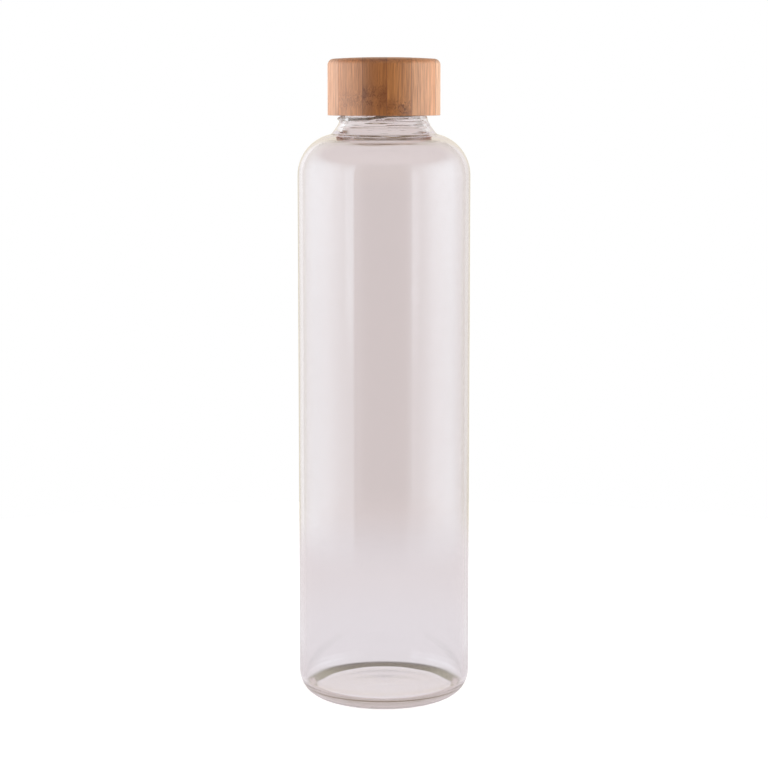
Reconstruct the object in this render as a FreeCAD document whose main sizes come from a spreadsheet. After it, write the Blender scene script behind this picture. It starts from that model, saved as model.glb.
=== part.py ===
import FreeCAD, Part
import math
import os
import re

import Sketcher

# A one-litre glass water bottle with a turned bamboo screw cap. Millimetres.
# +Z is up, the origin is the middle of the base where it stands on a table, -Y is the front.
#
# The bottle is one piece of blown glass. The cap is a shell turned from a block of glued
# bamboo strips, with a plastic liner inside that carries the thread, and a silicone ring
# that seals against the bottle's rim.

doc = FreeCAD.newDocument("glass_water_bottle")

DIMENSIONS = [
    # the glass body
    ("bodyRadius", 40.0),
    ("wallThickness", 2.2),
    ("heelRadius", 12.0),        # outside radius between the base and the wall
    ("contactWidth", 3.0),       # the flat ring that the bottle stands on
    ("pushUp", 0.35),            # how far the middle of the underside is raised
    ("floorHeight", 5.9),        # inside floor above the table
    ("floorCorner", 3.7),        # inside radius between the floor and the wall
    ("shoulderStart", 245.4),    # where the straight wall ends
    ("shoulderRadius", 20.0),
    # the neck
    ("neckCorner", 24.4),        # radius at which the neck rises out of the shoulder
    ("neckCornerInside", 22.5),
    ("neckRadius", 19.6),
    ("neckFlare", 14.0),         # radius of the flare at the foot of the neck
    ("neckWall", 2.4),
    ("rimHeight", 290.8),
    ("rimRounding", 1.0),
    # the thread, right-handed, shared by the neck and the liner
    ("threadLead", 6.0),
    ("threadStart", 269.0),
    ("glassTurns", 2.5),
    ("glassRidge", 1.4),         # how far the ridge stands out of the neck
    ("glassRidgeRoot", 3.0),
    ("glassRidgeCrest", 1.4),
    ("linerTurns", 1.5),
    ("linerRidge", 1.35),
    ("linerRidgeRoot", 2.4),
    ("linerRidgeCrest", 1.0),
    ("ridgeSpacing", 2.2),       # liner ridge below the glass ridge that it pulls against
    ("ridgeBury", 0.3),          # how deep a ridge's root reaches into its wall
    # the silicone ring
    ("sealInner", 16.5),
    ("sealOuter", 20.8),
    ("sealThickness", 2.0),
    # the plastic liner
    ("linerInner", 21.3),
    ("linerWall", 1.15),
    ("linerCeiling", 1.2),
    ("linerBottom", 274.0),
    ("lipInner", 15.2),
    ("lipOuter", 16.2),
    ("lipDepth", 3.0),
    # the bamboo shell
    ("capRadius", 26.0),
    ("capBottom", 273.5),
    ("capTop", 300.0),
    ("capBore", 22.5),
    ("capEdge", 2.2),            # rounding of the top edge
    ("capCrown", 0.9),           # how far the top is domed
    ("stripWidth", 11.1),
    ("firstGlueLine", -20.9),
]

sheet = doc.addObject("Spreadsheet::Sheet", "sizes")
for row, (alias, value) in enumerate(DIMENSIONS, start=1):
    sheet.set(f"A{row}", alias)
    sheet.set(f"B{row}", str(value))
    sheet.setAlias(f"B{row}", alias)
doc.recompute()


def origin_plane(body, role):
    return next(feature for feature in body.Origin.OriginFeatures if feature.Role == role)


def named(formula):
    """Turn the bare dimension names in a formula into references to the sheet."""
    aliases = {alias for alias, _ in DIMENSIONS}
    return re.sub(r"[A-Za-z]+",
                  lambda word: "sizes." + word[0] if word[0] in aliases else word[0], formula)


def arc_middle(start, end, radius, side):
    """The middle of the arc from start to end; side is +1 when it bulges left of the chord."""
    chord = end - start
    half = chord.Length / 2
    rise = radius - math.sqrt(radius * radius - half * half)
    left = FreeCAD.Vector(-chord.y, chord.x, 0).normalize()
    return (start + end) / 2 + left * rise * side


def outline(body, name, corners, bends=None):
    """Draw a closed outline on the body's XZ plane.

    corners holds (radius, height) formulas of the sheet's names. bends maps the number of an
    edge, counted from its first corner, to (radius formula, side) where the edge is an arc.
    """
    bends = bends or {}
    sketch = body.newObject("Sketcher::SketchObject", name)
    sketch.AttachmentSupport = [(origin_plane(body, "XZ_Plane"), "")]
    sketch.MapMode = "FlatFace"
    places = [FreeCAD.Vector(float(sketch.evalExpression(named(across))),
                             float(sketch.evalExpression(named(up))), 0)
              for across, up in corners]

    ends = []
    for edge, start in enumerate(places):
        end = places[(edge + 1) % len(places)]
        if edge in bends:
            radius = float(sketch.evalExpression(named(bends[edge][0])))
            middle = arc_middle(start, end, radius, bends[edge][1])
            sketch.addGeometry(Part.Arc(start, middle, end))
        else:
            sketch.addGeometry(Part.LineSegment(start, end))
        runs_forward = (sketch.getPoint(edge, 1) - start).Length < 1e-6
        ends.append((1, 2) if runs_forward else (2, 1))

    for edge, (across, up) in enumerate(corners):
        after = (edge + 1) % len(corners)
        sketch.addConstraint(
            Sketcher.Constraint("Coincident", edge, ends[edge][1], after, ends[after][0]))
        for kind, formula, axis in (("DistanceX", across, -2), ("DistanceY", up, -1)):
            if formula == "0":
                sketch.addConstraint(
                    Sketcher.Constraint("PointOnObject", edge, ends[edge][0], axis))
                continue
            size = float(sketch.evalExpression(named(formula)))
            number = sketch.addConstraint(
                Sketcher.Constraint(kind, -1, 1, edge, ends[edge][0], size))
            sketch.setExpression(f"Constraints[{number}]", named(formula))
        if edge in bends:
            formula = bends[edge][0]
            size = float(sketch.evalExpression(named(formula)))
            number = sketch.addConstraint(Sketcher.Constraint("Radius", edge, size))
            sketch.setExpression(f"Constraints[{number}]", named(formula))
    return sketch


def revolve(body, sketch, name):
    solid = body.newObject("PartDesign::Revolution", name)
    solid.Profile = sketch
    solid.ReferenceAxis = (sketch, ["V_Axis"])
    solid.Angle = 360
    return solid


def wind(body, sketch, name, turns):
    """Sweep a ridge outline round the axis along the thread's right-handed helix."""
    ridge = body.newObject("PartDesign::AdditiveHelix", name)
    ridge.Profile = sketch
    ridge.ReferenceAxis = (sketch, ["V_Axis"])
    ridge.Mode = "pitch-turns-angle"
    ridge.setExpression("Pitch", "sizes.threadLead")
    ridge.setExpression("Turns", f"sizes.{turns}")
    return ridge


def make_glass_bottle():
    """The blown bottle: base, wall, shoulder and threaded neck in one piece of glass."""
    body = doc.addObject("PartDesign::Body", "glass_bottle")
    contact_outer = "(bodyRadius - heelRadius)"
    contact_inner = "(bodyRadius - heelRadius - contactWidth)"
    inside = "(bodyRadius - wallThickness)"
    shoulder_axis = "(bodyRadius - shoulderRadius)"
    inside_radius = "(shoulderRadius - wallThickness)"
    corner_height = ("(shoulderStart + sqrt(shoulderRadius ^ 2"
                     f" - (neckCorner - {shoulder_axis}) ^ 2))")
    inside_height = (f"(shoulderStart + sqrt({inside_radius} ^ 2"
                     f" - (neckCornerInside - {shoulder_axis}) ^ 2))")
    flare_axis = "(neckRadius + neckFlare)"
    inside_flare = "(neckFlare + neckWall)"
    bore = "(neckRadius - neckWall)"
    flare_top = f"{corner_height} + sqrt(neckFlare ^ 2 - ({flare_axis} - neckCorner) ^ 2)"
    bore_bottom = (f"{inside_height}"
                   f" + sqrt({inside_flare} ^ 2 - ({flare_axis} - neckCornerInside) ^ 2)")
    push_up_radius = f"({contact_inner} ^ 2 + pushUp ^ 2) / (2 * pushUp)"

    corners = [
        ("0", "pushUp"),
        (contact_inner, "0"),
        (contact_outer, "0"),
        ("bodyRadius", "heelRadius"),
        ("bodyRadius", "shoulderStart"),
        ("neckCorner", corner_height),
        ("neckRadius", flare_top),
        ("neckRadius", "rimHeight - rimRounding"),
        ("neckRadius - rimRounding", "rimHeight"),
        (f"{bore} + rimRounding", "rimHeight"),
        (bore, "rimHeight - rimRounding"),
        (bore, bore_bottom),
        ("neckCornerInside", inside_height),
        (inside, "shoulderStart"),
        (inside, "floorHeight + floorCorner"),
        (f"{inside} - floorCorner", "floorHeight"),
        ("0", "floorHeight"),
    ]
    bends = {
        0: (push_up_radius, 1),
        2: ("heelRadius", -1),
        4: ("shoulderRadius", -1),
        5: ("neckFlare", 1),
        7: ("rimRounding", -1),
        9: ("rimRounding", -1),
        11: (inside_flare, -1),
        12: (inside_radius, 1),
        14: ("floorCorner", 1),
    }
    revolve(body, outline(body, "glass_section", corners, bends), "glass_wall")

    ridge_corners = [
        ("neckRadius - ridgeBury", "threadStart - glassRidgeRoot / 2"),
        ("neckRadius", "threadStart - glassRidgeRoot / 2"),
        ("neckRadius + glassRidge", "threadStart - glassRidgeCrest / 2"),
        ("neckRadius + glassRidge", "threadStart + glassRidgeCrest / 2"),
        ("neckRadius", "threadStart + glassRidgeRoot / 2"),
        ("neckRadius - ridgeBury", "threadStart + glassRidgeRoot / 2"),
    ]
    wind(body, outline(body, "glass_ridge", ridge_corners), "glass_thread", "glassTurns")
    return body


def make_seal_ring():
    """The silicone ring, flat on the bottle's rim and under the liner's ceiling."""
    body = doc.addObject("PartDesign::Body", "seal_ring")
    top = "rimHeight + sealThickness"
    corners = [
        ("sealInner", "rimHeight"),
        ("sealOuter", "rimHeight"),
        ("sealOuter", top),
        ("sealInner", top),
    ]
    revolve(body, outline(body, "seal_section", corners), "seal_band")
    return body


def make_cap_liner():
    """The moulded liner: ceiling, threaded skirt, and the lip that keeps the ring in place."""
    body = doc.addObject("PartDesign::Body", "cap_liner")
    ceiling = "(rimHeight + sealThickness)"
    outer = "linerInner + linerWall"
    corners = [
        ("0", ceiling),
        ("lipInner", ceiling),
        ("lipInner", f"{ceiling} - lipDepth"),
        ("lipOuter", f"{ceiling} - lipDepth"),
        ("lipOuter", ceiling),
        ("linerInner", ceiling),
        ("linerInner", "linerBottom"),
        (outer, "linerBottom"),
        (outer, f"{ceiling} + linerCeiling"),
        ("0", f"{ceiling} + linerCeiling"),
    ]
    revolve(body, outline(body, "liner_section", corners), "liner_shell")

    # The ridge starts half a turn round, on the -X side, half a lead above the glass ridge's
    # start, then one whole lead higher, less the spacing that puts it below the glass ridge.
    middle = "(threadStart + threadLead * 1.5 - ridgeSpacing)"
    wall = "linerInner"
    ridge_corners = [
        (f"-({wall} + ridgeBury)", f"{middle} - linerRidgeRoot / 2"),
        (f"-{wall}", f"{middle} - linerRidgeRoot / 2"),
        (f"-({wall} - linerRidge)", f"{middle} - linerRidgeCrest / 2"),
        (f"-({wall} - linerRidge)", f"{middle} + linerRidgeCrest / 2"),
        (f"-{wall}", f"{middle} + linerRidgeRoot / 2"),
        (f"-({wall} + ridgeBury)", f"{middle} + linerRidgeRoot / 2"),
    ]
    wind(body, outline(body, "liner_ridge", ridge_corners), "liner_thread", "linerTurns")
    return body


def make_cap_blank():
    """The whole turned shell, before it is told apart into the strips it was glued from."""
    body = doc.addObject("PartDesign::Body", "cap_blank")
    ceiling = "rimHeight + sealThickness + linerCeiling"
    edge_height = "(capTop - capCrown)"
    flat_radius = "(capRadius - capEdge)"
    corners = [
        ("0", ceiling),
        ("capBore", ceiling),
        ("capBore", "capBottom"),
        ("capRadius", "capBottom"),
        ("capRadius", f"{edge_height} - capEdge"),
        (flat_radius, edge_height),
        ("0", "capTop"),
    ]
    bends = {
        4: ("capEdge", -1),
        5: (f"({flat_radius} ^ 2 + capCrown ^ 2) / (2 * capCrown)", -1),
    }
    revolve(body, outline(body, "cap_section", corners, bends), "turned_shell")
    return body


def make_bamboo_strips(blank):
    """Tell the shell apart along its glue lines, which are planes square to X."""
    strips = []
    lower = "-1.1 * sizes.capRadius"
    count = 2 + int((sheet.capRadius - sheet.firstGlueLine) / sheet.stripWidth)
    for number in range(1, count + 1):
        upper = f"sizes.firstGlueLine + {number - 1} * sizes.stripWidth"
        if number == count:
            upper = "1.1 * sizes.capRadius"
        board = doc.addObject("Part::Box", f"board_{number}")
        board.setExpression("Length", f"({upper}) - ({lower})")
        board.setExpression("Width", "2.2 * sizes.capRadius")
        board.setExpression("Height", "sizes.capTop")
        board.setExpression("Placement.Base.x", lower)
        board.setExpression("Placement.Base.y", "-1.1 * sizes.capRadius")
        board.setExpression("Placement.Base.z", "sizes.capBottom / 2")
        strip = doc.addObject("Part::Common", f"bamboo_strip_{number}")
        strip.Base = blank
        strip.Tool = board
        strips.append(strip)
        lower = upper
    return strips


glass_bottle = make_glass_bottle()
seal_ring = make_seal_ring()
cap_liner = make_cap_liner()
subparts = [glass_bottle, seal_ring, cap_liner] + make_bamboo_strips(make_cap_blank())
doc.recompute()

for item in doc.Objects:
    if "Invalid" in item.State or "Error" in item.State:
        raise RuntimeError(f"{item.Label} did not build: {item.State}")
for item in subparts:
    if item.Shape.isNull() or not item.Shape.isValid():
        raise RuntimeError(f"{item.Label} has no valid shape")

os.makedirs("parts", exist_ok=True)
for item in subparts:
    item.Placement = FreeCAD.Placement()
    item.Shape.exportStep(f"parts/{item.Label}.step")
    print(f"{item.Label}: {item.Shape.Volume / 1000:.2f} cm3")
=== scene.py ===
import math

import bmesh
import bpy
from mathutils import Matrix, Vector, noise


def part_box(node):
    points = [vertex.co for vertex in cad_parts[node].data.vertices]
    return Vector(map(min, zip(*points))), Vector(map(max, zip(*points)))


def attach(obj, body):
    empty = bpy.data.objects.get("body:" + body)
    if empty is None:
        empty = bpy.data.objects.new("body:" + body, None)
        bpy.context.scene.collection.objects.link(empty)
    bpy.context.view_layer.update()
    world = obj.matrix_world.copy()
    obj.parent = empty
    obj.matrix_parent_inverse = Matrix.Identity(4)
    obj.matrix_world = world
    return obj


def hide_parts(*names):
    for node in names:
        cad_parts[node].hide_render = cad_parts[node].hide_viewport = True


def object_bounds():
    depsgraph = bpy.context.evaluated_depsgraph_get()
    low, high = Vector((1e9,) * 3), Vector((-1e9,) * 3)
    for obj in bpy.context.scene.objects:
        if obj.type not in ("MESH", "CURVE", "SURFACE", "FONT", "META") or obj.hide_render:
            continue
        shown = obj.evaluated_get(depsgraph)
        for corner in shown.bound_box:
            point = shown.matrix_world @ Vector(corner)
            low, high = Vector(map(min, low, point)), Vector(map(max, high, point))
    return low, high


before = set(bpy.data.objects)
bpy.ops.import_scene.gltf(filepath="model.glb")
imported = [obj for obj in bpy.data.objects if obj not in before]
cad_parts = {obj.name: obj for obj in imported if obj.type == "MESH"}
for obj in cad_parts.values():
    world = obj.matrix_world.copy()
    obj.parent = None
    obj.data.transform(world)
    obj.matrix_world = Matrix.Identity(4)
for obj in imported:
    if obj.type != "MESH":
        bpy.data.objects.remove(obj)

# A one-litre glass water bottle with a bamboo screw cap. Outlines are worked out in millimetres
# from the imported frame's boxes and become metres when a mesh is made.

MM = 0.001
CAD_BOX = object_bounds()


def top_of(node):
    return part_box(node)[1].z / MM


def bottom_of(node):
    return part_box(node)[0].z / MM


def radius_of(node):
    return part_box(node)[1].x / MM


STRIPS = sorted(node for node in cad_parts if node.startswith("bamboo_strip"))
CAP_RADIUS = -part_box(STRIPS[0])[0].x / MM
CAP_BOTTOM = bottom_of(STRIPS[0])
CAP_TOP = CAD_BOX[1].z / MM
BODY_RADIUS = radius_of("glass_bottle")
RIM = top_of("glass_bottle")

# The glass.
WALL = 2.2
HEEL = 12.0
CONTACT_INNER = 25.0
PUSH_UP = 0.35
PUSH_UP_ROUND = 60.0
FLOOR = 5.9
FLOOR_CORNER = 3.7
SHOULDER_START = 245.4
SHOULDER_RADIUS = 20.0
NECK_FOOT = 24.4
NECK_RADIUS = 19.6
NECK_FLARE = 14.0
NECK_WALL = 2.4
CREASE_OUTSIDE = 1.8
CREASE_INSIDE = 2.2
LIP_ROUND = 1.15

# The right-handed thread. Its ridge is taller where the cap doesn't cover it, and on the
# neck's flare it runs where the glass is less than THREAD_SPREAD wider than the neck.
LEAD = 6.0
THREAD_START = 269.0
THREAD_TURNS = 2.5
THREAD_SPREAD = 3.0
RIDGE_OPEN = 1.7
RIDGE_COVERED = 1.4

# How far hand-worked glass strays: the wall, the neck, and the tool's marks on the neck.
WALL_STRAY = 0.05
NECK_STRAY = 0.16
TOOL_MARK = 0.08
TOOL_PITCH = 2.3

# The cap. The liner's ridge starts some turns up the neck's ridge, a little under it.
SEAL_HOLE = 16.5
SEAL_EDGE = 0.45
LINER_WALL = 1.15
LINER_TURNS = 1.5
LINER_RIDGE = 1.3
LINER_START_TURNS = 1.5
LINER_DROP = 2.2
LOCATING_LIP = (15.2, 16.2, 3.0)
SHELL_BORE = 22.5
CROWN = 0.9
CROWN_RADIUS = 290.0
CAP_EDGE = 2.9


# ---------------------------------------------------------------- outlines and meshes

def smooth(value, low, high):
    """0 below low, 1 above high, and a smooth rise between them."""
    share = min(max((value - low) / (high - low), 0.0), 1.0)
    return share * share * (3 - 2 * share)


def rounded(corners, turn_step=math.radians(5)):
    """The points of an outline through (across, up, radius) corners, each turned by an arc."""
    points = []
    for before, corner, after in zip([None] + corners[:-1], corners, corners[1:] + [None]):
        place = Vector(corner[:2])
        radius = corner[2] if len(corner) > 2 else 0
        if not radius or before is None or after is None:
            points.append(place)
            continue
        back = (Vector(before[:2]) - place).normalized()
        on = (Vector(after[:2]) - place).normalized()
        turn = math.pi - back.angle(on)
        reach = radius * math.tan(turn / 2)
        centre = place + (back + on).normalized() * radius / math.cos(turn / 2)
        start = place + back * reach - centre
        steps = max(3, round(turn / turn_step))
        way = 1 if start.y * back.x - start.x * back.y > 0 else -1
        for step in range(steps + 1):
            angle = way * turn * step / steps
            points.append(centre + Vector((start.x * math.cos(angle) - start.y * math.sin(angle),
                                           start.x * math.sin(angle) + start.y * math.cos(angle))))
    return points


def divided(points, longest):
    """The same outline with no step longer than longest(height)."""
    result = [points[0]]
    for start, end in zip(points, points[1:]):
        length = (end - start).length
        if length < 1e-6:
            continue
        steps = math.ceil(length / longest((start.y + end.y) / 2))
        result += [start.lerp(end, step / steps) for step in range(1, steps + 1)]
    return result


def lathe(name, outline, segments, shape=None):
    """Turns an outline round the Z axis. shape(across, up, angle, row) gives a moved radius."""
    mesh = bmesh.new()
    rings = []
    for row, (across, up) in enumerate(outline):
        if across < 1e-6:
            rings.append([mesh.verts.new((0, 0, up * MM))])
            continue
        ring = []
        for segment in range(segments):
            angle = 2 * math.pi * segment / segments
            radius = shape(across, up, angle, row) if shape else across
            ring.append(mesh.verts.new((radius * math.cos(angle) * MM,
                                        radius * math.sin(angle) * MM, up * MM)))
        rings.append(ring)
    closed = len(rings[0]) > 1
    pairs = list(zip(rings, rings[1:])) + ([(rings[-1], rings[0])] if closed else [])
    for lower, upper in pairs:
        for segment in range(segments):
            after = (segment + 1) % segments
            if len(lower) == 1:
                mesh.faces.new((lower[0], upper[after], upper[segment]))
            elif len(upper) == 1:
                mesh.faces.new((lower[segment], lower[after], upper[0]))
            else:
                mesh.faces.new((lower[segment], lower[after], upper[after], upper[segment]))
    bmesh.ops.recalc_face_normals(mesh, faces=mesh.faces)
    return mesh


def add_piece(name, mesh, body, nodes, material, sharp=math.radians(40)):
    """Makes the mesh an object that rides on a body and stands for CAD nodes."""
    data = bpy.data.meshes.new(name)
    mesh.to_mesh(data)
    mesh.free()
    data.shade_smooth()
    data.set_sharp_from_angle(angle=sharp)
    data.materials.append(material)
    piece = bpy.data.objects.new(name, data)
    bpy.context.scene.collection.objects.link(piece)
    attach(piece, body)
    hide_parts(*nodes)
    return piece


def ridge(angle, up, start_angle, start_up, turns, root, crest, height, fade):
    """How far a thread ridge stands out at an angle and height; it fades in and out by fade."""
    tallest = 0.0
    whole = 2 * math.pi
    wound = (angle - start_angle) % whole
    while wound <= turns * whole:
        off = abs(up - start_up - LEAD * wound / whole)
        flank = 1 - smooth(off, crest / 2, root / 2)
        ends = smooth(wound, 0, fade) * smooth(turns * whole - wound, 0, fade)
        tallest = max(tallest, height * flank * ends)
        wound += whole
    return tallest


# ---------------------------------------------------------------- node helpers

def new_material(name):
    material = bpy.data.materials.new(name)
    material.use_nodes = True
    material.node_tree.nodes.clear()
    return material, material.node_tree


def add(tree, kind, inputs=None, **settings):
    """Adds a node. inputs maps a socket's name or number to a value, or to a socket to link."""
    node = tree.nodes.new(kind)
    for key, value in settings.items():
        setattr(node, key, value)
    for key, value in (inputs or {}).items():
        if isinstance(value, bpy.types.NodeSocket):
            tree.links.new(value, node.inputs[key])
        else:
            node.inputs[key].default_value = value
    return node


def calc(tree, operation, *values, clamp=False):
    """The result of a maths operation on sockets or numbers."""
    node = add(tree, "ShaderNodeMath", dict(enumerate(values)), operation=operation,
               use_clamp=clamp)
    return node.outputs[0]


def rise(tree, value, low, high, start=0.0, end=1.0):
    """start below low, end above high, smoothly between."""
    node = add(tree, "ShaderNodeMapRange",
               {0: value, 1: low, 2: high, 3: start, 4: end}, interpolation_type="SMOOTHSTEP")
    return node.outputs[0]


def blend(tree, share, first, second, mode="MIX"):
    """Mixes two colours, given as sockets or as (red, green, blue)."""
    node = add(tree, "ShaderNodeMix", data_type="RGBA", blend_type=mode)
    for key, value in ((0, share), (6, first), (7, second)):
        if isinstance(value, bpy.types.NodeSocket):
            tree.links.new(value, node.inputs[key])
        elif isinstance(value, tuple):
            node.inputs[key].default_value = (*value, 1)
        else:
            node.inputs[key].default_value = value
    return node.outputs[2]


def stretch(tree, vector, scale, offset=(0, 0, 0)):
    """A vector times a scale, plus an offset."""
    node = add(tree, "ShaderNodeVectorMath", {0: vector, 1: scale, 2: offset},
               operation="MULTIPLY_ADD")
    return node.outputs[0]


def cloud(tree, vector, scale, detail, roughness=0.5, output="Fac"):
    """Soft noise, as one value from 0 to 1 or as the three of a colour."""
    node = add(tree, "ShaderNodeTexNoise", {
        "Vector": vector, "Scale": scale, "Detail": detail, "Roughness": roughness})
    return node.outputs[output]


def plus(tree, first, second):
    """The sum of two vectors."""
    return add(tree, "ShaderNodeVectorMath", {0: first, 1: second}, operation="ADD").outputs[0]


def times(tree, first, second):
    return calc(tree, "MULTIPLY", first, second)


def object_place(tree):
    return add(tree, "ShaderNodeTexCoord").outputs["Object"]


def finish_surface(tree, surface, volume=None):
    output = add(tree, "ShaderNodeOutputMaterial", {"Surface": surface})
    if volume:
        tree.links.new(volume, output.inputs["Volume"])


# ---------------------------------------------------------------- materials

def make_glass():
    """Clear glass with a faint rosy grey cast, olive where the light goes far through it."""
    material, tree = new_material("clear_glass")
    shader = add(tree, "ShaderNodeBsdfPrincipled", {
        "Base Color": (0.93, 0.90, 0.905, 1), "Roughness": 0.0, "IOR": 1.5,
        "Transmission Weight": 1.0})
    depth = add(tree, "ShaderNodeVolumeAbsorption", {
        "Color": (0.60, 0.56, 0.42, 1), "Density": 9.0})
    finish_surface(tree, shader.outputs[0], depth.outputs[0])
    return material


def make_liner_plastic():
    """Natural white polypropylene with a fine moulded texture."""
    material, tree = new_material("liner_plastic")
    place = object_place(tree)
    grain = cloud(tree, place, 2600.0, 2.0)
    clouds = cloud(tree, place, 90.0, 1.0)
    tone = blend(tree, clouds, (0.80, 0.79, 0.75), (0.86, 0.855, 0.83))
    bump = add(tree, "ShaderNodeBump", {"Height": grain, "Strength": 0.25, "Distance": 0.00003})
    shader = add(tree, "ShaderNodeBsdfPrincipled", {
        "Base Color": tone, "Roughness": rise(tree, grain, 0.3, 0.7, 0.34, 0.46),
        "Normal": bump.outputs[0]})
    finish_surface(tree, shader.outputs[0])
    return material


def make_silicone():
    """Milky silicone rubber, with a bloom of dust in its surface."""
    material, tree = new_material("seal_silicone")
    bloom = cloud(tree, object_place(tree), 700.0, 3.0)
    tone = blend(tree, bloom, (0.74, 0.74, 0.71), (0.83, 0.83, 0.80))
    shader = add(tree, "ShaderNodeBsdfPrincipled", {
        "Base Color": tone, "Roughness": rise(tree, bloom, 0.3, 0.7, 0.42, 0.58)})
    finish_surface(tree, shader.outputs[0])
    return material


def toned(tone, *shares):
    """A darker tone, with each channel cut to its share."""
    return tuple(channel * share for channel, share in zip(tone, shares))


def wandering_fibres(tree, place, seed):
    """The place in millimetres, moved a little so that lines along Z wander."""
    wander = cloud(tree, stretch(tree, place, (0.10, 0.10, 0.03), (seed, 0, seed)), 1.0, 1.0,
                   output="Color")
    return plus(tree, stretch(tree, wander, (1.6, 1.6, 0.0)), place)


def cane_joint(tree, place, up, height, half, seed):
    """How much of the cane's joint shows at a height, and how far it swirls the fibres."""
    off = calc(tree, "DIVIDE", calc(tree, "SUBTRACT", up, height), half)
    square = calc(tree, "POWER", calc(tree, "ABSOLUTE", off), 2.0)
    band = calc(tree, "EXPONENT", times(tree, square, -1.0))
    swirl = cloud(tree, stretch(tree, place, (0.42, 0.42, 0.30), (seed, seed, 0)), 1.0, 1.5,
                  output="Color")
    push = stretch(tree, swirl, (4.4, 4.4, 0.0), (-2.2, -2.2, 0.0))
    swirl = add(tree, "ShaderNodeVectorMath", {0: push, "Scale": band}, operation="SCALE")
    return band, swirl.outputs[0]


def fibre_colour(tree, fibres, tone, seed):
    """The strip's colour from wide streaks, bundles of fibres and fine lines."""
    fine = cloud(tree, stretch(tree, fibres, (1.0, 1.0, 0.022), (seed, 0, 0)), 3.6, 3.0, 0.6)
    streak = cloud(tree, stretch(tree, fibres, (1.0, 1.0, 0.010), (0, seed, 0)), 0.80, 2.0)
    bundles = add(tree, "ShaderNodeTexVoronoi", {
        "Vector": stretch(tree, fibres, (1.0, 1.0, 0.016), (seed, seed, 0)),
        "Scale": 1.5}).outputs["Distance"]
    bundle = rise(tree, bundles, 0.12, 0.30, 1.0, 0.0)
    pale = tuple(min(channel * 1.10, 1.0) for channel in tone)
    deep = toned(tone, 0.86, 0.82, 0.78)
    dark = toned(tone, 0.50, 0.36, 0.25)
    colour = blend(tree, rise(tree, streak, 0.34, 0.66), deep, pale)
    colour = blend(tree, times(tree, bundle, 0.60), colour, dark)
    colour = blend(tree, rise(tree, fine, 0.44, 0.66, 0.0, 0.62), colour, dark)
    return colour, fine, bundle


def joint_colour(tree, colour, place, fibres, band, tone, strength, seed):
    """Adds a cloudy stain and small dark marks, both dots and curls, where the joint is."""
    stain = cloud(tree, stretch(tree, place, (0.22, 0.22, 0.16), (seed, 0, seed)), 1.0, 2.0)
    stained = times(tree, band, rise(tree, stain, 0.38, 0.62, 0.15, strength))
    colour = blend(tree, stained, colour, toned(tone, 0.52, 0.40, 0.28))
    speck = cloud(tree, stretch(tree, fibres, (1.0, 1.0, 0.55), (0, seed, seed)), 0.95, 1.0)
    curl = cloud(tree, stretch(tree, fibres, (0.5, 0.5, 0.34), (seed, seed, seed)), 1.0, 1.0)
    curl = calc(tree, "ABSOLUTE", calc(tree, "SUBTRACT", curl, 0.50))
    curl = rise(tree, curl, 0.01, 0.045, 1.0, 0.0)
    mark = calc(tree, "MAXIMUM", rise(tree, speck, 0.61, 0.67), times(tree, curl, 0.8))
    mark = times(tree, mark, rise(tree, band, 0.25, 0.7))
    return blend(tree, times(tree, mark, strength), colour, (0.21, 0.05, 0.0))


def edge_colour(tree, colour, across, left, right, line, tone):
    """Adds the glue lines at the strip's own edges, and the end grain, which drinks more oil."""
    edge = calc(tree, "MINIMUM", calc(tree, "SUBTRACT", across, left),
                calc(tree, "SUBTRACT", right, across))
    colour = blend(tree, rise(tree, edge, 0.04, 0.34, line, 0.0), colour,
                   toned(tone, 0.50, 0.36, 0.28))
    normal = add(tree, "ShaderNodeNewGeometry").outputs["Normal"]
    facing = add(tree, "ShaderNodeSeparateXYZ", {0: normal}).outputs[2]
    ends = rise(tree, calc(tree, "ABSOLUTE", facing), 0.30, 0.75, 0.0, 0.55)
    return blend(tree, ends, colour, blend(tree, 1.0, colour, (0.74, 0.62, 0.50), "MULTIPLY"))


def make_bamboo(name, tone, left, right, line, knot=None, seed=0.0):
    """One glued strip of bamboo, with its fibres along Z.

    left and right are the strip's glue lines in millimetres, and line is how dark they show.
    knot gives the height, half width and strength of the band where a joint of the cane runs
    through the strip.
    """
    material, tree = new_material(name)
    place = stretch(tree, object_place(tree), (1 / MM, 1 / MM, 1 / MM))
    split = add(tree, "ShaderNodeSeparateXYZ", {0: place})
    across, up = split.outputs[0], split.outputs[2]

    fibres = wandering_fibres(tree, place, seed)
    if knot:
        height, half, strength = knot
        band, swirl = cane_joint(tree, place, up, height, half, seed)
        fibres = plus(tree, fibres, swirl)
    colour, fine, bundle = fibre_colour(tree, fibres, tone, seed)
    if knot:
        colour = joint_colour(tree, colour, place, fibres, band, tone, strength, seed)
    colour = edge_colour(tree, colour, across, left, right, line, tone)

    relief = calc(tree, "SUBTRACT", times(tree, fine, 0.6), times(tree, bundle, 0.5))
    bump = add(tree, "ShaderNodeBump", {
        "Height": relief, "Strength": 0.5, "Distance": 0.00005}).outputs[0]
    shader = add(tree, "ShaderNodeBsdfPrincipled", {
        "Base Color": colour, "Roughness": rise(tree, fine, 0.3, 0.7, 0.36, 0.52),
        "Specular IOR Level": 1.0, "Normal": bump})
    finish_surface(tree, shader.outputs[0])
    return material


# ---------------------------------------------------------------- the pieces

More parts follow.
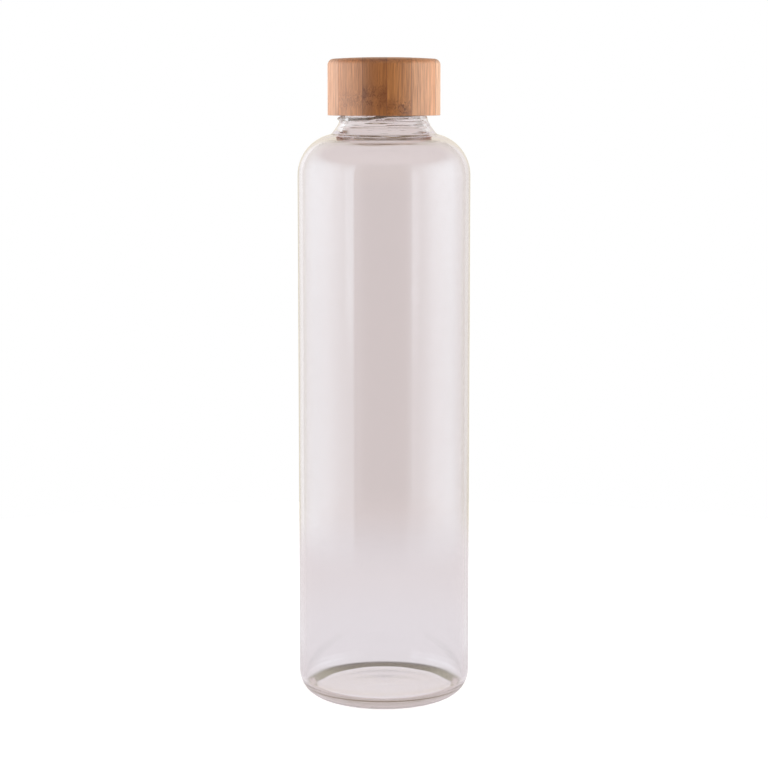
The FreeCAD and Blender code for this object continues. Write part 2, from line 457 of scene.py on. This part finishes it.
def glass_outline():
    """The outside from the underside's middle to the rim, then the inside down to the floor.

    The shoulder's and the neck's arcs are a little smaller than their named radii, which leaves
    room for the round of the crease between them.
    """
    lean = math.acos((NECK_FOOT - BODY_RADIUS + SHOULDER_RADIUS) / SHOULDER_RADIUS)
    flare = math.acos((NECK_RADIUS + NECK_FLARE - NECK_FOOT) / NECK_FLARE)
    foot = SHOULDER_START + SHOULDER_RADIUS * math.sin(lean)
    crest = SHOULDER_START + SHOULDER_RADIUS * math.tan(lean / 2)
    inside = BODY_RADIUS - WALL
    bore = NECK_RADIUS - NECK_WALL
    lip = (NECK_RADIUS + bore) / 2
    outer = [
        (0, PUSH_UP),
        (CONTACT_INNER, 0, PUSH_UP_ROUND),
        (BODY_RADIUS, 0, HEEL),
        (BODY_RADIUS, crest, SHOULDER_RADIUS - 0.7),
        (NECK_FOOT, foot, CREASE_OUTSIDE),
        (NECK_RADIUS, foot + NECK_FLARE * math.tan(flare / 2), NECK_FLARE - 1.2),
        (NECK_RADIUS, RIM, LIP_ROUND),
        (lip, RIM),
    ]
    inner = [
        (lip, RIM),
        (bore, RIM, LIP_ROUND),
        (bore, foot + 3.0, NECK_FLARE - 0.5),
        (NECK_FOOT - 1.9, foot - 1.9, CREASE_INSIDE),
        (inside, foot - 4.1, SHOULDER_RADIUS - WALL - 0.8),
        (inside, FLOOR, FLOOR_CORNER),
        (0, FLOOR),
    ]

    def step(up):
        return 0.4 if up > SHOULDER_START + 16 else 6.0

    outside = divided(rounded(outer), step)
    return outside + divided(rounded(inner), step)[1:], len(outside)


def neck_thread(radius, angle, up, neck):
    """The neck's radius with its ridge and the tool's marks.

    The ridge is fainter in front, below the cap. Under the cap it leaves the liner its room.
    """
    stand = ridge(angle, up, start_angle=0.0, start_up=THREAD_START, turns=THREAD_TURNS,
                  root=3.1, crest=0.1, height=RIDGE_OPEN, fade=math.radians(50))
    front = smooth(-math.sin(angle), -0.3, 0.5) * (1 - smooth(up, CAP_BOTTOM, CAP_BOTTOM + 2.5))
    radius += stand * (1 - 0.7 * front)
    radius += TOOL_MARK * math.sin(up * 2 * math.pi / TOOL_PITCH) * neck
    spare = 2.0 * (1 - smooth(up, CAP_BOTTOM - 1.5, CAP_BOTTOM))
    return min(radius, NECK_RADIUS + RIDGE_COVERED + spare)


def make_bottle(material):
    """The blown bottle, with its thread, and the slight unevenness of hand-worked glass."""
    outline, outside_rows = glass_outline()

    def shape(across, up, angle, row):
        east, north = math.cos(angle), math.sin(angle)
        outside = row < outside_rows
        # How much of the straight wall and of the neck there is at this height.
        body = smooth(up, 14, 40) * (1 - smooth(up, 225, 250))
        neck = smooth(up, 258, 266) * (1 - smooth(up, RIM - 5, RIM - 2))
        slow = noise.noise(Vector((east * 1.3, north * 1.3, up / 70 + (7 if outside else 0))))
        side = 0 if outside else 11
        ripple = noise.noise(Vector((east * 2.2, north * 2.2, up / 5 + side)))
        ripple += 0.3 * noise.noise(Vector((east * 5, north * 5, up / 2.6 + side)))
        moved = across - abs(slow) * WALL_STRAY * body + ripple * NECK_STRAY * neck
        if outside and up > THREAD_START - LEAD and across < NECK_RADIUS + THREAD_SPREAD:
            moved = neck_thread(moved, angle, up, neck)
        return moved

    mesh = lathe("blown_bottle", outline, 192, shape)
    return add_piece("blown_bottle", mesh, "bottle", ["glass_bottle"], material)


def make_seal(material):
    """A flat ring with softly rounded edges."""
    low, high = bottom_of("seal_ring"), top_of("seal_ring")
    outer = radius_of("seal_ring")
    middle = (low + high) / 2
    corners = [
        (SEAL_HOLE, middle),
        (SEAL_HOLE, low, SEAL_EDGE),
        (outer, low, SEAL_EDGE),
        (outer, high, SEAL_EDGE),
        (SEAL_HOLE, high, SEAL_EDGE),
        (SEAL_HOLE, middle + 0.01),
    ]
    outline = divided(rounded(corners, math.radians(15)), lambda up: 1.5)
    mesh = lathe("sealing_ring", outline, 128)
    return add_piece("sealing_ring", mesh, "seal", ["seal_ring"], material)


def make_liner(material):
    """The moulded liner: ceiling, skirt with its inside thread, and the ring's locating lip."""
    low, high = bottom_of("cap_liner"), top_of("cap_liner")
    outer = radius_of("cap_liner")
    inner = outer - LINER_WALL
    ceiling = top_of("seal_ring")
    lip_inner, lip_outer, lip_depth = LOCATING_LIP
    corners = [
        (0, ceiling),
        (lip_inner, ceiling, 0.4),
        (lip_inner, ceiling - lip_depth, 0.35),
        (lip_outer, ceiling - lip_depth, 0.35),
        (lip_outer, ceiling, 0.25),
        (inner, ceiling, 0.6),
        (inner, low, 0.4),
        (outer, low, 0.4),
        (outer, high, 0.8),
        (0, high),
    ]

    def step(up):
        return 0.4 if low < up < ceiling else 1.5

    def shape(across, up, angle, row):
        if abs(across - inner) > 0.3 or up > ceiling - 1:
            return across
        start = THREAD_START + LEAD * LINER_START_TURNS - LINER_DROP
        return across - ridge(angle, up, start_angle=math.pi, start_up=start, turns=LINER_TURNS,
                              root=2.6, crest=0.7, height=LINER_RIDGE, fade=math.radians(30))

    outline = divided(rounded(corners, math.radians(12)), step)
    mesh = lathe("threaded_liner", outline, 160, shape)
    return add_piece("threaded_liner", mesh, "cap", ["cap_liner"], material)


def shell_outline():
    """The turned shell, from the middle of its ceiling down the bore and up to the crown."""
    ceiling = top_of("cap_liner")
    corners = [
        (0, ceiling),
        (SHELL_BORE, ceiling, 0.5),
        (SHELL_BORE, CAP_BOTTOM, 0.25),
        (CAP_RADIUS, CAP_BOTTOM, 0.25),
        (CAP_RADIUS, CAP_TOP - CROWN, CAP_EDGE),
        (CAP_RADIUS / 2, CAP_TOP, CROWN_RADIUS),
        (0, CAP_TOP),
    ]
    return divided(rounded(corners, math.radians(7)), lambda up: 2.0)


def cut_at(mesh, place, way):
    """Cuts off what lies beyond a place on the X axis, in millimetres, and closes the cut."""
    everything = mesh.verts[:] + mesh.edges[:] + mesh.faces[:]
    bmesh.ops.bisect_plane(mesh, geom=everything, dist=1e-7, clear_outer=True,
                           plane_co=(place * MM, 0, 0), plane_no=(way, 0, 0))
    rim = [edge for edge in mesh.edges if edge.is_boundary]
    bmesh.ops.triangle_fill(mesh, edges=rim, use_beauty=True)


# Each strip's tone, the strips whose glue lines show most, and the joint of the cane in
# some strips: its height and half width in millimetres, and its strength.
# The tones are the strips' own, except that the first and the last two are paler: painted sheen of
# the side lights on the cap's edges.
STRIP_TONES_AND_SHEEN = [
    (0.80, 0.400, 0.210),
    (0.74, 0.300, 0.104),
    (0.56, 0.212, 0.058),
    (0.72, 0.290, 0.084),
    (0.86, 0.390, 0.158),
    (0.88, 0.500, 0.280),
]
BOLD_LINES = (3, 4)
KNOTS = {2: (280.5, 3.0, 0.25), 3: (282.0, 5.0, 0.9), 4: (277.0, 3.6, 0.8)}

# The gap on each side of a glue line, and a place off the cap for a side that isn't glued.
GLUE_PLAY = 0.01
NO_LINE = 40.0


def make_strips():
    """Cuts the turned shell into its glued strips, each with a bamboo of its own."""
    for number, (node, tone) in enumerate(zip(STRIPS, STRIP_TONES_AND_SHEEN), start=1):
        low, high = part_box(node)
        left, right = -NO_LINE, NO_LINE
        mesh = lathe("shell", shell_outline(), 256)
        if number > 1:
            left = low.x / MM
            cut_at(mesh, left + GLUE_PLAY, -1)
        if number < len(STRIPS):
            right = high.x / MM
            cut_at(mesh, right - GLUE_PLAY, 1)
        bmesh.ops.recalc_face_normals(mesh, faces=mesh.faces)
        line = 0.85 if number in BOLD_LINES else 0.35
        material = make_bamboo(f"bamboo_{number}", tone, left, right, line,
                               KNOTS.get(number), seed=number * 3.7)
        add_piece(f"bamboo_board_{number}", mesh, "cap", [node], material)


make_bottle(make_glass())
make_seal(make_silicone())
make_liner(make_liner_plastic())
make_strips()


# ---------------------------------------------------------------- floor, light and camera

# What the glass shows of the room: straight through it, low and high, and after being mirrored
# twice or more, downwards and upwards. FILL lights what stands behind the glass.
ROOM = (0.85, 0.80, 0.79)
ROOM_TOP = (0.26, 0.20, 0.14)
DEEP_DOWN = (0.27, 0.20, 0.135)
DEEP_UP = (0.80, 0.725, 0.775)
FILL = (0.62, 0.45, 0.30)

# What the glass mirrors: the side lights, the gap between them below and above eye level, the
# ceiling, the floor in front, and the far wall at the left, at the right and in the middle.
LAMP = (1.85, 2.15, 2.30)
GAP_MIDDLE = (0.14, 0.13, 0.13)
GAP_SIDE = (0.24, 0.23, 0.235)
GAP_TOP = (0.44, 0.36, 0.29)
CEILING = (0.62, 0.58, 0.58)
FRONT_FLOOR = (0.72, 0.67, 0.65)
WALL_LEFT = (1.07, 1.06, 1.07)
WALL_RIGHT = (0.94, 0.91, 0.90)
WALL_MIDDLE = (0.90, 0.84, 0.70)

# What lights the cap: two boxes of light, the dark between them, and the ceiling.
BOX_LIGHT = (2.4, 2.34, 2.28)
BOX_GAP = (0.04, 0.037, 0.033)
TOP_LIGHT = (0.27, 0.26, 0.25)

# The table as the glass shows it: under the bottle, near it and far from it, the tints it gets
# near and far when it is mirrored, and its painted shadow beside the axis and straight behind it.
# Its radius and how far it lies under the bottle are in metres.
TABLE_UNDER = (0.93, 0.945, 1.04)
TABLE_NEAR = (0.885, 0.89, 0.925)
TABLE_FAR = (0.865, 0.85, 0.87)
MIRRORED_NEAR = (0.86, 0.80, 0.80)
MIRRORED_FAR = (1.01, 0.97, 0.97)
SHADOW_SIDE = (0.09, 0.10, 0.0)
SHADOW_BACK = (0.03, 0.02, 0.0)
TABLE_RADIUS = 0.5
TABLE_DROP = 0.00002


def add_painted_shadow(tree, colour, far, back):
    """Adds a painted shadow: the dark crescent under the back of the heel, drawn into the table's
    colour.

    far is the distance from the axis in metres, and back is 1 straight behind it, 0 beside it.
    """
    inner = calc(tree, "ADD", rise(tree, back, -0.1, 0.35, 0.0345, 0.0305),
                 rise(tree, back, 0.85, 1.0, 0.0, 0.001))
    past = calc(tree, "SUBTRACT", far, inner)
    outer = calc(tree, "ADD", far, rise(tree, back, 0.5, 0.95, 0.003, 0.0))
    shadow = times(tree, rise(tree, past, -0.0008, 0.0012),
                   rise(tree, outer, 0.038, 0.047, 1.0, 0.0))
    shadow = times(tree, shadow, rise(tree, back, -0.05, 0.12))
    shadow = times(tree, shadow, rise(tree, back, 0.5, 0.95, 0.85, 1.0))
    dark = blend(tree, rise(tree, back, 0.5, 0.95), SHADOW_SIDE, SHADOW_BACK)
    return blend(tree, shadow, colour, dark)


def table_through_glass(tree, path):
    """The table for every ray but the camera's own. It fades into the room at its edge."""
    place = object_place(tree)
    far = add(tree, "ShaderNodeVectorMath", {0: place}, operation="LENGTH").outputs["Value"]
    aim = add(tree, "ShaderNodeVectorMath", {0: place}, operation="NORMALIZE").outputs[0]
    back = add(tree, "ShaderNodeSeparateXYZ", {0: aim}).outputs[1]
    seen = blend(tree, rise(tree, far, 0.12, 0.28), TABLE_NEAR, TABLE_FAR)
    seen = blend(tree, rise(tree, far, 0.029, 0.035), TABLE_UNDER, seen)
    seen = add_painted_shadow(tree, seen, far, back)
    mirror = blend(tree, rise(tree, far, 0.06, 0.14), MIRRORED_NEAR, MIRRORED_FAR)
    mirrored = calc(tree, "MULTIPLY", path.outputs["Glossy Depth"], 0.8, clamp=True)
    seen = blend(tree, mirrored, seen, blend(tree, 1.0, seen, mirror, "MULTIPLY"))
    bounce = rise(tree, far, 0.15, 0.28, 2.2, 0.35)
    strength = add(tree, "ShaderNodeMix", {
        0: rise(tree, path.outputs["Diffuse Depth"], 0.4, 0.6), 2: 1.0, 3: bounce}).outputs[0]
    glow = add(tree, "ShaderNodeEmission", {"Color": seen, "Strength": strength}).outputs[0]
    clear = add(tree, "ShaderNodeBsdfTransparent").outputs[0]
    return add(tree, "ShaderNodeMixShader",
               {0: rise(tree, far, 0.31, 0.49), 1: glow, 2: clear}).outputs[0]


def make_floor():
    """A plain white table. Through the glass it shows a painted contact shadow."""
    material, tree = new_material("white_table")
    path = add(tree, "ShaderNodeLightPath")
    through = table_through_glass(tree, path)
    diffuse = add(tree, "ShaderNodeBsdfDiffuse", {"Color": (0.8, 0.8, 0.8, 1)})
    glow = add(tree, "ShaderNodeEmission", {"Color": (1, 1, 1, 1), "Strength": 0.78})
    direct = add(tree, "ShaderNodeAddShader", {0: diffuse.outputs[0], 1: glow.outputs[0]})
    both = add(tree, "ShaderNodeMixShader",
               {0: path.outputs["Is Camera Ray"], 1: through, 2: direct.outputs[0]})
    finish_surface(tree, both.outputs[0])
    mesh = bmesh.new()
    bmesh.ops.create_circle(mesh, cap_ends=True, segments=96, radius=TABLE_RADIUS)
    data = bpy.data.meshes.new("table_top")
    mesh.to_mesh(data)
    mesh.free()
    data.materials.append(material)
    table = bpy.data.objects.new("table_top", data)
    bpy.context.scene.collection.objects.link(table)
    table.location.z = -TABLE_DROP


def side_lights(tree, east, bearing, height, low):
    """How bright the two tall lights are.

    The left one has a clean inner edge with a glint along it, and the right one starts softly.
    Bearings are in degrees from the front, and low fades the lights out towards the ceiling.
    """
    glint = times(tree, rise(tree, bearing, 48, 56, 0.75, 0), rise(tree, height, -8, -4))
    left = calc(tree, "ADD", rise(tree, bearing, 58, 86, 0.72, 1.12), glint)
    left = times(tree, left, rise(tree, bearing, 40, 42.5))
    right = times(tree, rise(tree, bearing, 27, 38), rise(tree, bearing, 42, 76, 0.36, 1.0))
    right = times(tree, right, rise(tree, bearing, 88, 125, 1, 0.75))
    box = add(tree, "ShaderNodeMix", {0: rise(tree, east, -0.001, 0.001), 2: left, 3: right})
    box = times(tree, box.outputs[0], low)
    return times(tree, box, rise(tree, height, -8, 2, 0.72, 1.0))


def mirrored_room(tree, east, north, bearing, height, low):
    """What the glass mirrors."""
    gap = blend(tree, rise(tree, bearing, 12, 40), GAP_MIDDLE, GAP_SIDE)
    gap = blend(tree, rise(tree, height, -2, 1), gap, GAP_TOP)
    power = side_lights(tree, east, bearing, height, low)
    shine = blend(tree, power, gap, LAMP)
    shine = blend(tree, rise(tree, height, 12, 42), shine, CEILING)
    shine = blend(tree, rise(tree, height, -45, -22, 1, 0), shine, FRONT_FLOOR)
    wall = blend(tree, rise(tree, east, -0.3, 0.3), WALL_LEFT, WALL_RIGHT)
    wall = blend(tree, rise(tree, calc(tree, "ABSOLUTE", east), 0.2, 0.45), WALL_MIDDLE, wall)
    return blend(tree, rise(tree, north, 0.25, 0.85), shine, wall)


def diffuse_light(tree, path, bearing, height, low):
    """What lights matt surfaces, outside the glass and behind it."""
    boxes = times(tree, rise(tree, bearing, 42, 60), rise(tree, bearing, 125, 160, 1, 0))
    light = blend(tree, times(tree, boxes, low), BOX_GAP, BOX_LIGHT)
    light = blend(tree, rise(tree, height, 25, 55), light, TOP_LIGHT)
    behind_glass = rise(tree, path.outputs["Transmission Depth"], 0.4, 0.6)
    return blend(tree, behind_glass, light, FILL)


def make_studio():
    """A white room with a tall soft light on either side and a dim gap in front."""
    world = bpy.data.worlds.new("studio")
    bpy.context.scene.world = world
    world.use_nodes = True
    world.cycles.sampling_method = "NONE"
    tree = world.node_tree
    tree.nodes.clear()
    way = add(tree, "ShaderNodeSeparateXYZ",
              {0: add(tree, "ShaderNodeTexCoord").outputs["Generated"]})
    east, north, up = way.outputs
    bearing = calc(tree, "DEGREES", calc(
        tree, "ARCTAN2", calc(tree, "ABSOLUTE", east), times(tree, north, -1.0)))
    height = calc(tree, "DEGREES", calc(tree, "ARCSINE", up))
    low = rise(tree, height, 20, 45, 1, 0)
    path = add(tree, "ShaderNodeLightPath")

    colour = blend(tree, rise(tree, height, 8, 20), ROOM, ROOM_TOP)
    shine = mirrored_room(tree, east, north, bearing, height, low)
    colour = blend(tree, rise(tree, path.outputs["Glossy Depth"], 0.4, 0.6), colour, shine)
    deep = blend(tree, rise(tree, height, -10, 10), DEEP_DOWN, DEEP_UP)
    colour = blend(tree, rise(tree, path.outputs["Glossy Depth"], 1.4, 1.6), colour, deep)
    light = diffuse_light(tree, path, bearing, height, low)
    colour = blend(tree, rise(tree, path.outputs["Diffuse Depth"], 0.4, 0.6), colour, light)
    colour = blend(tree, path.outputs["Is Camera Ray"], colour, (1.0, 1.0, 1.0))
    background = add(tree, "ShaderNodeBackground", {"Color": colour, "Strength": 1.0})
    add(tree, "ShaderNodeOutputWorld", {"Surface": background.outputs[0]})


# The lens in millimetres, the camera's place and aim in metres, and how often light may turn.
LENS = 104.8
CAMERA_PLACE = Vector((0, -1.039, 0.2857))
CAMERA_AIM = Vector((0, 0, 0.1484))
BOUNCES = 64


def make_camera():
    """Level with the cap, a metre away, looking down at the middle of the bottle."""
    data = bpy.data.cameras.new("camera")
    data.lens = LENS
    camera = bpy.data.objects.new("camera", data)
    camera.location = CAMERA_PLACE
    aim = CAMERA_AIM - CAMERA_PLACE
    camera.rotation_euler = aim.to_track_quat("-Z", "Y").to_euler()
    bpy.context.scene.collection.objects.link(camera)
    bpy.context.scene.camera = camera


def set_up_light_paths(scene):
    """Lets light through all the walls of the glass.

    Light that is caught in a wall would be lost at the last bounce and leave black bands.
    After a few turns it sees the room instead.
    """
    scene.view_settings.view_transform = "Standard"
    scene.cycles.max_bounces = BOUNCES
    scene.cycles.transmission_bounces = BOUNCES
    scene.cycles.glossy_bounces = BOUNCES
    scene.cycles.use_denoising = True
    scene.cycles.use_fast_gi = True
    scene.cycles.fast_gi_method = "REPLACE"
    scene.cycles.ao_bounces_render = 4
    scene.world.light_settings.distance = 0.0005


make_floor()
make_studio()
make_camera()
set_up_light_paths(bpy.context.scene)
